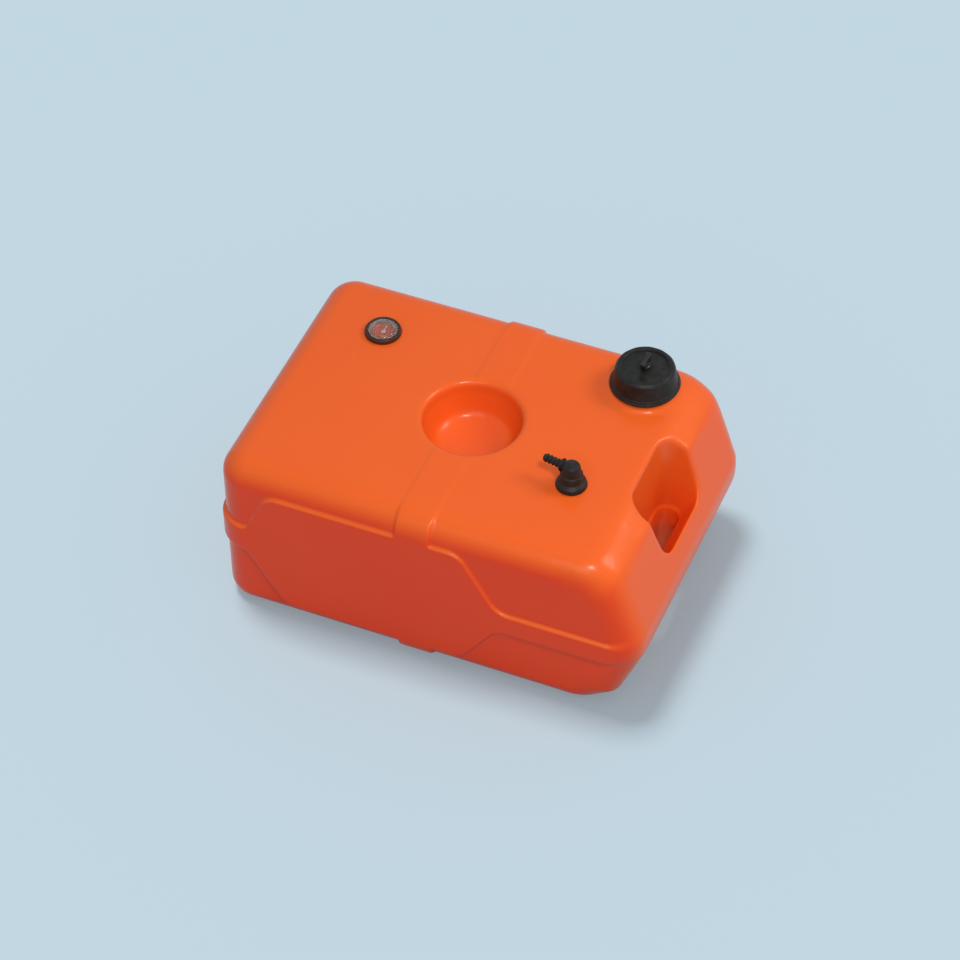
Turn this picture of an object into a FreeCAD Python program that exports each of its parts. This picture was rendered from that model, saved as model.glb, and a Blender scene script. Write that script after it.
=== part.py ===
import FreeCAD, Part
import math
import os
import re
import Sketcher

# Outboard fuel tank, lying flat. Millimetres. The origin is the middle of its foot print on the floor.
# X runs along the tank to the end with the handle, Y to the far side, Z up.

Vector = FreeCAD.Vector
doc = FreeCAD.newDocument("fuel_tank")

# Driving dimensions: alias, value, what it measures
SIZES = [
    ("tank_length", 480, "over the belt, back end to nose"),
    ("tank_width", 334, "over the two side panels"),
    ("tank_height", 205, "floor to the flat deck"),
    ("wall", 3.6, "thickness of the moulded wall"),
    ("belt_proud", 4, "how far belt and panels stand out from the sides"),
    ("corner_radius", 36, "upright corners, over the belt"),
    ("shoulder_radius", 27, "edge round the deck"),
    ("foot_radius", 21, "edge round the underside"),
    ("nose_run", 33, "length of the sloped end in side view"),
    ("nose_low", 81, "lower ridge of the nose"),
    ("nose_high", 104.5, "upper ridge of the nose"),
    ("slope_bend", 48, "bend from the deck to the slope"),
    ("belt_low", 89, "lower edge of the belt at the back end"),
    ("belt_high", 121, "upper edge of the belt at the back end"),
    ("belt_nose_low", 79.5, "lower edge of the belt at the nose"),
    ("belt_nose_high", 106, "upper edge of the belt at the nose"),
    ("panel_low", 20, "lower edge of the side panel"),
    ("panel_high", 177, "upper edge of the side panel"),
    ("panel_back", 39, "back end to the foot of the panel's slanted back edge"),
    ("panel_back_rise", 26, "lean of that edge above the belt"),
    ("panel_back_drop", 43, "lean of that edge below the belt"),
    ("panel_front", 155, "nose to the foot of the panel's slanted front edge"),
    ("panel_front_lean", 42, "lean of that edge"),
    ("panel_bend", 21, "rounding of the panel's outer corners"),
    ("belt_bend", 24, "bend from the panel's front edge into the belt"),
    ("back_bend", 10, "bend from the panel's back edge into the belt"),
    ("band_width", 38, "raised band round the middle"),
    ("band_proud", 0.8, "how far the band stands out from the deck"),
    ("band_sink", 0.2, "how far the band's sides lie below the side panels"),
    ("middle_offset", -9.5, "centre of band and round recess along the tank"),
    ("recess_radius", 52, "round recess in the deck"),
    ("recess_rim", 8, "rounding of its rim"),
    ("recess_taper", 5, "how much narrower its floor is"),
    ("recess_bend", 8, "rounding of its floor"),
    ("recess_depth", 44, "deck to its floor"),
    ("bar_thickness", 28, "handle bar, nose to finger slot"),
    ("slot_width", 26, "finger slot across"),
    ("slot_length", 90, "finger slot along the bar"),
    ("slot_bend", 12, "rounding of the ends of the slot"),
    ("slot_ledge", 2, "ledge round the slot, at the foot of the pocket"),
    ("slot_taper", 2, "how much the slot draws in towards the lower pocket, each side"),
    ("grip_length", 114, "hand pocket along the bar, at deck and floor level"),
    ("grip_bend", 26, "rounding of the pocket's corners there"),
    ("grip_lean", 1, "lean of the pocket's back wall"),
    ("grip_bevel", 9, "bevel round the pocket at deck level, across and down"),
    ("bar_lean", 0.6, "slope of the bar's inner face, out for each unit up"),
    ("pip_radius", 2.2, "small moulded pip on the deck"),
    ("pip_from_back", 73, "back end to the pip"),
    ("pip_offset", 42, "centre line to the pip"),

    ("running_gap", 0.3, "between pieces that move on each other"),
    ("fit_gap", 0.1, "between pieces that are pressed together"),

    ("filler_from_nose", 97.8, "nose to the centre of the filler"),
    ("filler_from_side", 56, "far side to the centre of the filler"),
    ("neck_radius", 25.8, "outside of the filler neck"),
    ("neck_wall", 3, "thickness of the neck"),
    ("neck_height", 20, "deck to the mouth of the neck"),
    ("boss_radius", 40.5, "top of the low boss round the neck"),
    ("boss_height", 3, "deck to the top of the boss"),
    ("boss_flare", 3.5, "how much wider the boss is at its root"),
    ("boss_root", 8, "depth of the boss and neck below the deck"),
    ("thread_gap", 1.4, "depth of the thread between neck and cap"),
    ("insert_wall", 1.8, "wall of the threaded insert"),
    ("insert_floor", 3, "disc of the insert"),
    ("insert_lift", 5.4, "deck to the lower edge of the insert"),
    ("cap_gasket_thickness", 2.6, "rubber ring on the mouth"),
    ("cap_lip_radius", 38.7, "lip of the cap"),
    ("cap_lip_lift", 4.8, "deck to the lip"),
    ("cap_lip_height", 4.6, "thickness of the lip"),
    ("cap_foot_radius", 34.5, "cap just above its lip"),
    ("cap_head_radius", 31.9, "cap at its top"),
    ("cap_height", 30, "deck to the top of the cap"),
    ("cap_edge", 2, "rounding of its top edge and lip"),
    ("cap_disc_radius", 25.6, "sunken disc in the top"),
    ("cap_disc_drop", 1.2, "depth of that disc"),
    ("vent_bore_radius", 3.4, "air hole through the cap"),
    ("vent_seal_radius", 5, "rubber ring under the wing screw"),
    ("vent_seal_thickness", 1.4, "thickness of that ring"),
    ("vent_collar_radius", 5.2, "collar of the wing screw"),
    ("vent_collar_height", 2.2, "height of that collar"),
    ("vent_stem_length", 14, "stem below the collar"),
    ("wing_length", 21, "wing across its tips"),
    ("wing_root", 14, "wing where it leaves the collar"),
    ("wing_thickness", 4.6, "thickness of the wing"),
    ("wing_height", 8, "height of the wing"),
    ("wing_edge", 1.4, "rounding of the wing"),

    ("gauge_from_back", 91.6, "back end to the centre of the gauge"),
    ("gauge_from_side", 84.1, "far side to the centre of the gauge"),
    ("gauge_hole_radius", 15.5, "hole in the deck"),
    ("gauge_boss_radius", 20, "thick ring under the deck round that hole"),
    ("gauge_boss_depth", 10, "depth of that ring below the deck"),
    ("gauge_gasket_thickness", 1.3, "rubber ring on the deck"),
    ("gauge_flange_radius", 17.7, "flange of the gauge body"),
    ("gauge_flange_height", 1.3, "thickness of that flange"),
    ("gauge_plug_depth", 14, "gauge body below the deck"),
    ("gauge_cup_radius", 12.4, "cup in the gauge body for the dial"),
    ("gauge_cup_depth", 2, "deck to the floor of that cup"),
    ("dial_thickness", 1, "dial disc"),
    ("bezel_radius", 19.6, "clamping ring"),
    ("bezel_height", 5, "deck to the top of the ring"),
    ("bezel_lip", 0.9, "thickness of its lip over the lens"),
    ("bezel_opening", 17.1, "radius of its opening"),
    ("lens_flange_height", 1.5, "edge of the lens under the ring"),
    ("lens_step_radius", 13.2, "raised middle of the lens"),
    ("lens_crown_radius", 8, "nearly flat crown of the lens"),
    ("lens_crown_drop", 0.3, "fall of the lens from its middle to the edge of the crown"),
    ("lens_height", 7.2, "deck to the top of the lens"),
    ("lens_thickness", 1.3, "thickness of the lens"),
    ("pointer_length", 10.5, "pointer from the spindle to its tip"),
    ("pointer_width", 2.2, "pointer at the spindle"),
    ("pointer_tip", 0.7, "pointer at its tip"),
    ("pointer_thickness", 0.8, "pointer"),
    ("pin_radius", 1.4, "round ends of the spindle"),
    ("strip_width", 4, "twisted strip"),
    ("strip_thickness", 0.9, "twisted strip"),
    ("strip_turn", 270, "twist of the strip over the float's travel, degrees"),
    ("rod_radius", 1.6, "guide rods"),
    ("rod_offset", 9, "spindle to each guide rod"),
    ("foot_disc_radius", 12, "foot plate"),
    ("foot_disc_thickness", 2.5, "foot plate"),
    ("foot_lift", 8, "floor to the foot plate"),
    ("float_radius", 13.2, "float"),
    ("float_height", 20, "float"),
    ("float_edge", 2, "rounding of the float"),
    ("float_travel", 150, "rise of the float, empty to full"),
    ("follower_radius", 6.5, "slotted plate on the float"),
    ("follower_thickness", 1.6, "slotted plate on the float"),
    ("follower_slack", 0.35, "play of the strip in its slot, each side"),

    ("outlet_from_nose", 116.6, "nose to the centre of the outlet"),
    ("outlet_from_side", 114.1, "near side to the centre of the outlet"),
    ("spigot_radius", 12.5, "outlet fitting inside the deck"),
    ("spigot_gap", 0.2, "play round it in its hole"),
    ("spigot_depth", 26, "outlet fitting below the deck"),
    ("outlet_boss_radius", 17, "thick ring under the deck round the outlet"),
    ("outlet_boss_depth", 12, "depth of that ring below the deck"),
    ("outlet_gasket_thickness", 1.4, "rubber ring under the flange"),
    ("outlet_gasket_radius", 15.5, "that ring"),
    ("outlet_flange_radius", 16.3, "flange on the deck"),
    ("outlet_flange_height", 2.2, "flange on the deck"),
    ("gland_waist_radius", 15.2, "bell of the fitting, half way up"),
    ("gland_waist_level", 10, "deck to there"),
    ("gland_shoulder_radius", 13.2, "where the bell starts to close"),
    ("gland_shoulder_level", 14.2, "deck to there"),
    ("gland_head_radius", 11.4, "top of the bell"),
    ("gland_height", 16.2, "deck to the top of the bell"),
    ("swivel_bore_radius", 7.4, "bore for the swivel stem"),
    ("clip_shelf", 13, "deck down to the shelf over the clip"),
    ("chamber_radius", 9.4, "bore below that shelf"),
    ("clip_thickness", 1.2, "spring clip"),
    ("clip_radius", 8.4, "spring clip"),
    ("clip_groove_radius", 5.6, "groove in the stem for the clip"),
    ("clip_mouth", 7.8, "gap between the ends of the clip"),
    ("stem_tail", 2, "stem below its clip"),
    ("stem_bore_radius", 3.4, "fuel way in the stem"),
    ("seal_section", 1, "half the thickness of the swivel's rubber ring"),
    ("seal_play", 0.2, "play of that ring in its groove, up and down"),
    ("seal_depth", 4, "deck down to that ring"),
    ("elbow_collar_radius", 11.2, "collar of the swivel head"),
    ("elbow_collar_height", 1, "collar of the swivel head"),
    ("elbow_radius", 10.6, "swivel head"),
    ("elbow_height", 32, "deck to the top of the swivel head"),
    ("elbow_dome", 3.4, "height of its rounded top"),
    ("elbow_shoulder_radius", 9.4, "first slope of that top"),
    ("elbow_shoulder_drop", 1.2, "top down to the end of that slope"),
    ("elbow_crown_radius", 5, "flat of that top"),
    ("barb_level", 24, "deck to the axis of the barb"),
    ("barb_angle", 170, "direction of the barb from +X, degrees"),
    ("arm_radius", 6.6, "arm from the head to the barb"),
    ("arm_reach", 12.5, "axis of the head to the end of the arm"),
    ("barb_reach", 33, "axis of the head to the tip of the barb"),
    ("barb_radius", 3.4, "barb between its ridges"),
    ("barb_ridge_radius", 4, "ridges of the barb"),
    ("barb_pitch", 4.4, "from ridge to ridge"),
    ("barb_slope", 3.4, "slope of each ridge, towards the tip"),
    ("barb_count", 4, "ridges"),
    ("barb_bore_radius", 2.3, "fuel way in the barb"),
    ("tube_radius", 5, "pickup tube"),
    ("tube_bore_radius", 3.6, "bore of the pickup tube"),
    ("tube_plug_height", 7, "plug of the tube in the outlet fitting"),
    ("tube_foot_lift", 16, "floor to the end of the tube"),
    ("strainer_radius", 8, "strainer cage"),
    ("strainer_wall", 1.2, "wall of the cage"),
    ("strainer_height", 30, "strainer cage"),
    ("strainer_lift", 6, "floor to the strainer"),
    ("strainer_slot_width", 1.6, "slots of the cage"),
    ("strainer_slot_margin", 5, "cage above and below its slots"),
    ("strainer_slot_pairs", 6, "slots, each cut through both sides"),
]

sheet = doc.addObject("Spreadsheet::Sheet", "Sizes")
for row, (alias, value, note) in enumerate(SIZES, start=1):
    sheet.set("A%d" % row, alias)
    sheet.set("B%d" % row, str(value))
    sheet.set("C%d" % row, note)
    sheet.setAlias("B%d" % row, alias)
doc.recompute()
ALIASES = {alias for alias, value, note in SIZES}


def cells(text):
    """Point each of the sheet's names in an expression at the sheet."""
    return re.sub(r"[a-z_]+", lambda name: "Sizes." + name.group(0) if name.group(0) in ALIASES
                  else name.group(0), text)


def size(text):
    """The number that an expression of the sheet's names comes to."""
    return float(sheet.evalExpression(text))


def tie(thing, **expressions):
    """Bind a thing's sizes to the sheet."""
    for name, text in expressions.items():
        thing.setExpression(name, cells(text))


def place(thing, seat):
    """Bind a thing's place to the sheet. A seat is its x, y and z, written with the sheet's names."""
    for axis, text in zip("xyz", seat):
        thing.setExpression("Placement.Base." + axis, cells(text))


def lifted(seat, rise):
    """The same seat, higher."""
    return (seat[0], seat[1], seat[2] + " + " + rise)


def sketch_of(body, name, role, outline):
    """A sketch of straight lines through (across, up) pairs, on one of the body's own origin planes."""
    sketch = body.newObject("Sketcher::SketchObject", name)
    plane = next(item for item in body.Origin.OriginFeatures if item.Role == role)
    sketch.AttachmentSupport = [(plane, "")]
    sketch.MapMode = "FlatFace"
    spots = [Vector(size(across), size(up), 0) for across, up in outline]
    for number, spot in enumerate(spots):
        sketch.addGeometry(Part.LineSegment(spot, spots[(number + 1) % len(spots)]), False)
    for number in range(len(spots)):
        sketch.addConstraint(Sketcher.Constraint("Coincident", number, 2, (number + 1) % len(spots), 1))
    for number, pair in enumerate(outline):
        for kind, axis, text in (("DistanceX", -2, pair[0]), ("DistanceY", -1, pair[1])):
            if text == "0":
                sketch.addConstraint(Sketcher.Constraint("PointOnObject", number, 1, axis))
            else:
                index = sketch.addConstraint(Sketcher.Constraint(kind, -1, 1, number, 1, size(text)))
                sketch.setExpression("Constraints[%d]" % index, cells(text))
    return sketch


def turned(label, outline, seat):
    """A body turned about its own upright axis from a half outline of (radius, height) pairs."""
    body = doc.addObject("PartDesign::Body", label)
    turn = body.newObject("PartDesign::Revolution", label + "_turn")
    turn.Profile = sketch_of(body, label + "_outline", "XZ_Plane", outline)
    turn.ReferenceAxis = (turn.Profile[0], ["V_Axis"])
    turn.Angle = 360
    place(body, seat)
    return body


def ring(label, inner, outer, low, high, seat):
    """A plain turned ring."""
    return turned(label, [(inner, low), (outer, low), (outer, high), (inner, high)], seat)


def circles_at(body, spots):
    """Names of the body's circular edges at these (radius, height) pairs of its own frame."""
    shape = body.Tip.Shape
    wanted = [(size(radius), size(height)) for radius, height in spots]
    names = []
    for number, edge in enumerate(shape.Edges, start=1):
        if not isinstance(edge.Curve, Part.Circle):
            continue
        for radius, height in wanted:
            if abs(edge.Curve.Radius - radius) < 0.01 and abs(edge.Curve.Center.z - height) < 0.01:
                names.append("Edge%d" % number)
    return names


def rounded(body, radius, find):
    """Round the edges that find picks from a body's last feature."""
    doc.recompute()
    base = body.Tip
    names = find(body)
    fillet = body.newObject("PartDesign::Fillet", body.Label + "_rounding")
    fillet.Base = (base, names)
    tie(fillet, Radius=radius)
    body.Tip = fillet


def cylinder(label, radius, height, seat, kind="Part::Cylinder"):
    """A cylinder whose foot stands at its seat."""
    thing = doc.addObject(kind, label)
    tie(thing, Radius=radius, Height=height)
    place(thing, seat)
    return thing


def joined(label, kind, **links):
    """A boolean of finished objects."""
    thing = doc.addObject(kind, label)
    for name, value in links.items():
        setattr(thing, name, value)
    return thing


# Seats of the three fittings on the deck
FILLER = ("tank_length / 2 - filler_from_nose", "tank_width / 2 - filler_from_side", "tank_height")
GAUGE = ("gauge_from_back - tank_length / 2", "tank_width / 2 - gauge_from_side", "tank_height")
OUTLET = ("tank_length / 2 - outlet_from_nose", "outlet_from_side - tank_width / 2", "tank_height")


# Tank shell: one hollow moulding. The outer form less the same form set in by the wall.
def rounded_wire(corners):
    """A closed wire in the side view through corners (x, z, radius), an arc of that radius at each."""
    starts, ends, arcs = [], [], []
    for number, (x, z, radius) in enumerate(corners):
        here = Vector(x, 0, z)
        back = (Vector(corners[number - 1][0], 0, corners[number - 1][1]) - here).normalize()
        on = corners[(number + 1) % len(corners)]
        ahead = (Vector(on[0], 0, on[1]) - here).normalize()
        half = back.getAngle(ahead) / 2
        reach = radius / math.tan(half)
        middle = here + (back + ahead).normalize() * (radius / math.sin(half) - radius)
        starts.append(here + back * reach)
        ends.append(here + ahead * reach)
        arcs.append(Part.Arc(starts[-1], middle, ends[-1]).toShape() if radius else None)
    edges = []
    for number, arc in enumerate(arcs):
        if arc:
            edges.append(arc)
        edges.append(Part.LineSegment(ends[number], starts[(number + 1) % len(arcs)]).toShape())
    return Part.Wire(edges)


def side_profile(step_in):
    """Side view of the tank, its back end set in by step_in, with two short facets at each bend."""
    half = size("tank_length / 2")
    run, height = size("nose_run"), size("tank_height")
    floor_back, floor_front = Vector(step_in - half, 0, 0), Vector(half - run, 0, 0)
    low, high = Vector(half, 0, size("nose_low")), Vector(half, 0, size("nose_high"))
    deck_front, deck_back = Vector(half - run, 0, height), Vector(step_in - half, 0, height)

    def facet(before, corner, after):
        back, ahead = (before - corner).normalize(), (after - corner).normalize()
        turn = math.pi - back.getAngle(ahead)
        reach = size("slope_bend") * (math.tan(turn / 2) - math.tan(turn / 4))
        return [corner + back * reach, corner + ahead * reach]

    points = [floor_back] + facet(floor_back, floor_front, low) + [low, high]
    points += facet(high, deck_front, deck_back) + [deck_back]
    return Part.makePolygon(points + points[:1])


def spread(wire, half_width):
    """A side view drawn out to both sides of the centre line."""
    face = Part.Face(wire)
    face.translate(Vector(0, -half_width, 0))
    return face.extrude(Vector(0, 2 * half_width, 0))


def edges_in_plane(shape, axis, level):
    """Edges of a shape that lie wholly in the plane where one coordinate, x, y or z, has this value."""
    found = []
    for edge in shape.Edges:
        spots = [vertex.Point for vertex in edge.Vertexes] + [edge.CenterOfMass]
        if all(abs(getattr(spot, axis) - level) < 0.001 for spot in spots):
            found.append(edge)
    return found


# An edge of the side view that climbs less than this belongs to the deck or the floor
LEVEL_EDGE = 5


def tank_form(step_in, skin):
    """The tank's rounded form, its sides and back end set in by step_in and its whole skin by skin."""
    profile = side_profile(step_in)
    if skin:
        profile = profile.makeOffset2D(-skin, 2)
    half_width = size("tank_width / 2") - step_in - skin
    form = spread(profile, half_width)
    upright = []
    for edge in form.Edges:
        start, end = edge.Vertexes[0].Point, edge.Vertexes[-1].Point
        if start.y * end.y > 0 and abs(start.z - end.z) > LEVEL_EDGE:
            upright.append(edge)
    form = form.makeFillet(size("corner_radius") - step_in - skin, upright)
    deck, floor = size("tank_height") - skin, skin
    form = form.makeFillet(size("shoulder_radius") - skin, edges_in_plane(form, "z", deck))
    return form.makeFillet(size("foot_radius") - skin, edges_in_plane(form, "z", floor))


def belt_area(skin):
    """Side view of the belt and the side panel, as a slab right across the tank."""
    back, front = size("panel_back - tank_length / 2"), size("tank_length / 2 - panel_front")
    lean = size("panel_front_lean")
    end = size("tank_length")
    corners = [
        (-end, size("belt_high"), 0),
        (back, size("belt_high"), size("back_bend")),
        (back + size("panel_back_rise"), size("panel_high"), size("panel_bend")),
        (front - lean, size("panel_high"), size("panel_bend")),
        (front, size("belt_nose_high"), size("belt_bend")),
        (end, size("belt_nose_high"), 0),
        (end, size("belt_nose_low"), 0),
        (front, size("belt_nose_low"), size("belt_bend")),
        (front - lean, size("panel_low"), size("panel_bend")),
        (back + size("panel_back_drop"), size("panel_low"), size("panel_bend")),
        (back, size("belt_low"), size("back_bend")),
        (-end, size("belt_low"), 0),
    ]
    wire = rounded_wire(corners)
    if skin:
        wire = wire.makeOffset2D(-skin, 2)
    return spread(wire, size("tank_width"))


def belt(skin):
    """Belt and side panels, standing proud of the sides and the back end."""
    return tank_form(0, skin).common(belt_area(skin))


def band(skin):
    """The band round the middle, proud of the deck and a hair below the side panels."""
    width, reach = size("band_width") - 2 * skin, size("tank_width")
    slab = Part.makeBox(width, 2 * reach, 2 * reach, Vector(size("middle_offset") - width / 2, -reach, 0))
    return tank_form(size("band_proud + band_sink"), skin - size("band_proud")).common(slab)


def round_recess(grow):
    """The round recess as a turned plug, grown by the wall for the inner form."""
    top, rim = size("recess_radius") + grow, size("recess_rim")
    floor, bend = top - size("recess_taper"), size("recess_bend")
    deck, bottom = size("tank_height"), size("tank_height - recess_depth") - grow
    if grow:
        outline = [(0, bottom), (floor, bottom), (top, deck), (top, deck + rim), (0, deck + rim)]
        edges = Part.makePolygon([Vector(r, 0, z) for r, z in outline + outline[:1]]).Edges
    else:
        above = deck + rim
        knee = math.sqrt(0.5)
        edges = [
            Part.LineSegment(Vector(0, 0, bottom), Vector(floor - bend, 0, bottom)).toShape(),
            Part.Arc(Vector(floor - bend, 0, bottom), Vector(floor - bend + bend * knee, 0,
                     bottom + bend - bend * knee), Vector(floor, 0, bottom + bend)).toShape(),
            Part.LineSegment(Vector(floor, 0, bottom + bend), Vector(top, 0, deck - rim)).toShape(),
            Part.Arc(Vector(top, 0, deck - rim), Vector(top + rim - rim * knee, 0,
                     deck - rim + rim * knee), Vector(top + rim, 0, deck)).toShape(),
            Part.LineSegment(Vector(top + rim, 0, deck), Vector(top + rim, 0, above)).toShape(),
            Part.LineSegment(Vector(top + rim, 0, above), Vector(0, 0, above)).toShape(),
            Part.LineSegment(Vector(0, 0, above), Vector(0, 0, bottom)).toShape(),
        ]
    plug = Part.Face(Part.Wire(edges)).revolve(Vector(0, 0, 0), Vector(0, 0, 1), 360)
    plug.translate(Vector(size("middle_offset"), 0, 0))
    return plug


def pocket_section(share, level, grow):
    """Section of the hand pocket at a level: share is 0 at the finger slot and 1 at the deck."""
    slot_front = size("tank_length / 2 - bar_thickness")
    depth = size("tank_height - nose_high")
    left = slot_front - size("slot_width") - share * size("grip_lean") - grow
    right = slot_front + share * size("bar_lean") * depth + grow
    half = (1 - share) * size("slot_length") / 2 + share * size("grip_length") / 2 + grow
    bend = (1 - share) * size("slot_bend") + share * size("grip_bend") + grow
    corners = [(left, -half, bend), (right, -half, bend), (right, half, bend), (left, half, bend)]
    wire = rounded_wire(corners)
    wire.rotate(Vector(0, 0, 0), Vector(1, 0, 0), 90)
    wire.translate(Vector(0, 0, level))
    return wire


def hand_pocket(grow):
    """The hand pockets above and below the bar, the upper one's bevel, and the slot between them."""
    high, low = size("nose_high"), size("nose_low")
    depth = size("tank_height - nose_high")
    ledge, taper, bevel = size("slot_ledge"), size("slot_taper"), size("grip_bevel")
    beyond = 1.2  # the lofts run on past deck and floor by a fifth of their height
    foot = 1 - bevel / depth
    spans = [
        [(0, high - grow, grow + ledge), (beyond, high + beyond * depth - grow, grow)],
        [(foot, high + foot * depth - grow, grow), (1, high + depth + bevel - grow, grow + 2 * bevel)],
        [(0, low, grow - taper), (0, high, grow)],
        [(0, low + grow, grow - taper), (beyond, low - beyond * depth + grow, grow)],
    ]
    lofts = [Part.makeLoft([pocket_section(*end) for end in span], True, True) for span in spans]
    return lofts[0].fuse(lofts[1:])


def tank_walls():
    """Outer form less inner form."""
    step = size("belt_proud")
    wall = size("wall")
    outer = tank_form(step, 0).fuse([belt(0), band(0)]).removeSplitter()
    outer = outer.cut(round_recess(0)).cut(hand_pocket(0))
    inner = tank_form(step, wall).fuse([belt(wall), band(wall)])
    inner = inner.cut(round_recess(wall)).cut(hand_pocket(wall))
    return outer.cut(inner)


walls = doc.addObject("Part::Feature", "tank_walls")
walls.Shape = tank_walls()

filler_boss = doc.addObject("Part::Cone", "filler_boss")
tie(filler_boss, Radius1="boss_radius + boss_flare", Radius2="boss_radius", Height="boss_root + boss_height")
place(filler_boss, lifted(FILLER, "-boss_root"))
neck = cylinder("filler_neck", "neck_radius", "boss_root + neck_height", lifted(FILLER, "-boss_root"))
gauge_ring = cylinder("gauge_ring", "gauge_boss_radius", "gauge_boss_depth - wall / 2",
                      lifted(GAUGE, "-gauge_boss_depth"))
outlet_ring = cylinder("outlet_ring", "outlet_boss_radius", "outlet_boss_depth - wall / 2",
                       lifted(OUTLET, "-outlet_boss_depth"))
pip = doc.addObject("Part::Sphere", "deck_pip")
tie(pip, Radius="pip_radius")
place(pip, ("pip_from_back - tank_length / 2", "pip_offset", "tank_height - pip_radius / 2"))
solid_parts = joined("tank_with_bosses", "Part::MultiFuse",
                     Shapes=[walls, filler_boss, neck, gauge_ring, outlet_ring, pip])
filler_bore = cylinder("filler_bore", "neck_radius - neck_wall", "2 * boss_root + neck_height + wall",
                       lifted(FILLER, "-2 * boss_root"))
gauge_hole = cylinder("gauge_hole", "gauge_hole_radius", "3 * gauge_boss_depth",
                      lifted(GAUGE, "-2 * gauge_boss_depth"))
outlet_hole = cylinder("outlet_hole", "spigot_radius + spigot_gap", "3 * outlet_boss_depth",
                       lifted(OUTLET, "-2 * outlet_boss_depth"))
holes = joined("tank_holes", "Part::MultiFuse", Shapes=[filler_bore, gauge_hole, outlet_hole])
tank_shell = joined("tank_shell", "Part::Cut", Base=solid_parts, Tool=holes)


# Filler cap: a cover over a threaded insert, a rubber ring, and a wing screw that opens the air hole.
INSERT_INNER = "neck_radius + thread_gap"
INSERT_OUTER = INSERT_INNER + " + insert_wall"
GASKET_TOP = "neck_height + cap_gasket_thickness"
INSERT_TOP = GASKET_TOP + " + insert_floor"
DISC_TOP = "cap_height - cap_disc_drop"

cap_insert = turned("cap_insert", [
    ("vent_bore_radius", GASKET_TOP), (INSERT_INNER, GASKET_TOP), (INSERT_INNER, "insert_lift"),
    (INSERT_OUTER, "insert_lift"), (INSERT_OUTER, INSERT_TOP), ("vent_bore_radius", INSERT_TOP)], FILLER)
cap_gasket = ring("cap_gasket", "neck_radius - neck_wall", INSERT_INNER + " - running_gap",
                  "neck_height", GASKET_TOP, FILLER)
cap_cover = turned("cap_cover", [
    ("vent_bore_radius", INSERT_TOP), (INSERT_OUTER + " + fit_gap", INSERT_TOP),
    (INSERT_OUTER + " + fit_gap", "cap_lip_lift"), ("cap_lip_radius", "cap_lip_lift"),
    ("cap_lip_radius", "cap_lip_lift + cap_lip_height"),
    ("cap_foot_radius", "cap_lip_lift + cap_lip_height"), ("cap_head_radius", "cap_height"),
    ("cap_disc_radius", "cap_height"), ("cap_disc_radius", DISC_TOP), ("vent_bore_radius", DISC_TOP)],
    FILLER)
rounded(cap_cover, "cap_edge", lambda body: circles_at(body, [
    ("cap_lip_radius", "cap_lip_lift + cap_lip_height"), ("cap_head_radius", "cap_height")]))

SEAL_TOP = DISC_TOP + " + vent_seal_thickness"
COLLAR_TOP = SEAL_TOP + " + vent_collar_height"
STEM = "vent_bore_radius - running_gap"
vent_seal = ring("vent_seal", "vent_bore_radius", "vent_seal_radius", DISC_TOP, SEAL_TOP, FILLER)
vent_screw = turned("vent_screw", [
    ("0", SEAL_TOP + " - vent_stem_length"), (STEM, SEAL_TOP + " - vent_stem_length"), (STEM, SEAL_TOP),
    ("vent_collar_radius", SEAL_TOP), ("vent_collar_radius", COLLAR_TOP), ("0", COLLAR_TOP)], FILLER)
wing = vent_screw.newObject("PartDesign::Pad", "vent_wing")
wing.Profile = sketch_of(vent_screw, "vent_wing_outline", "YZ_Plane", [
    ("-wing_root / 2", SEAL_TOP + " + vent_collar_height / 2"),
    ("wing_root / 2", SEAL_TOP + " + vent_collar_height / 2"),
    ("wing_length / 2", COLLAR_TOP + " + wing_height"), ("-wing_length / 2", COLLAR_TOP + " + wing_height")])
wing.Midplane = True
tie(wing, Length="wing_thickness")
vent_screw.Tip = wing


def wing_ends(body):
    """Names of the two upper corner edges of the wing, which run through its thickness."""
    level = size(COLLAR_TOP + " + wing_height")
    return ["Edge%d" % number for number, edge in enumerate(body.Tip.Shape.Edges, start=1)
            if abs(edge.CenterOfMass.z - level) < 0.01 and abs(edge.CenterOfMass.x) < 0.01]


rounded(vent_screw, "wing_edge", wing_ends)


# Fuel gauge: a float slides on two rods and turns a twisted strip with the pointer under the lens.
GASKET_RISE = "gauge_gasket_thickness"
FLANGE_TOP = GASKET_RISE + " + gauge_flange_height"
LENS_EDGE_TOP = FLANGE_TOP + " + lens_flange_height"
CUP_FLOOR = "-gauge_cup_depth"
PLUG_FOOT = "-gauge_plug_depth"
FLOOR_GAUGE = (GAUGE[0], GAUGE[1], "0")
FOOT_TOP = "foot_lift + foot_disc_thickness"
FLOAT_FOOT = FOOT_TOP + " + running_gap"
FLOAT_TOP = FLOAT_FOOT + " + float_height"

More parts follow.
